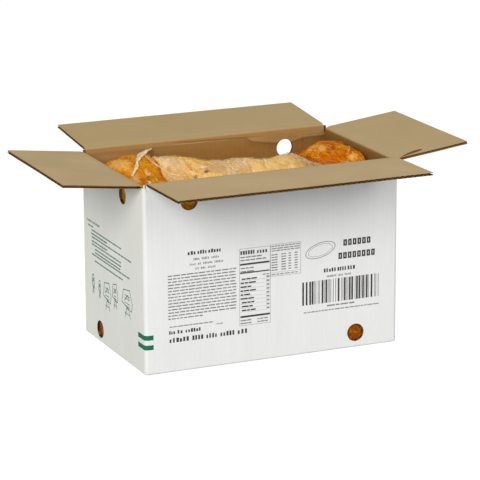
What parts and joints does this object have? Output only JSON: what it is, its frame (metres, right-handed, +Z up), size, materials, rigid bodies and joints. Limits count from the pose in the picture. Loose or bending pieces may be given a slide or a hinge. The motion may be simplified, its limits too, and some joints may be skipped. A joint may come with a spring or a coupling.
{
  "type": "open carton of bagged frozen soup",
  "caption": "Open corrugated carton, white outside and kraft inside, with folding top flaps and vent holes, filled with clear bags of frozen vegetable soup standing on edge",
  "frame": {"origin": "on the floor under the middle of the carton body", "axes": "X along the long panels, Y from the front panel to the back one, Z up"},
  "size_m": [0.6179, 0.4667, 0.2851],
  "materials": {
    "white_board": "matte white liner outside, brown kraft inside",
    "kraft_board": "matte brown kraft liner over fluting, white on the other face",
    "bagged_soup": "glossy clear film over frozen orange soup"
  },
  "bodies": {
    "root": {"carton_body": "white_board", "soup_bag_1": "bagged_soup", "soup_bag_2": "bagged_soup", "soup_bag_3": "bagged_soup", "soup_bag_4": "bagged_soup"},
    "flap_front": {"flap_front": "kraft_board"},
    "flap_back": {"flap_back": "kraft_board"},
    "flap_left": {"flap_left": "kraft_board"},
    "flap_right": {"flap_right": "kraft_board"}
  },
  "joints": [
    {"name": "front_flap_fold", "type": "hinge", "parent": "root", "child": "flap_front", "pos_m": [0, -0.117, 0.2725], "axis": [-1, 0, 0], "range_deg": [-25.8, 179.2]},
    {"name": "back_flap_fold", "type": "hinge", "parent": "root", "child": "flap_back", "pos_m": [0, 0.117, 0.2725], "axis": [1, 0, 0], "range_deg": [-30.2, 174.8]},
    {"name": "left_flap_fold", "type": "hinge", "parent": "root", "child": "flap_left", "pos_m": [-0.193, 0, 0.268], "axis": [0, 1, 0], "range_deg": [-31.6, 173.4]},
    {"name": "right_flap_fold", "type": "hinge", "parent": "root", "child": "flap_right", "pos_m": [0.193, 0, 0.268], "axis": [0, -1, 0], "range_deg": [-32, 173]}
  ]
}
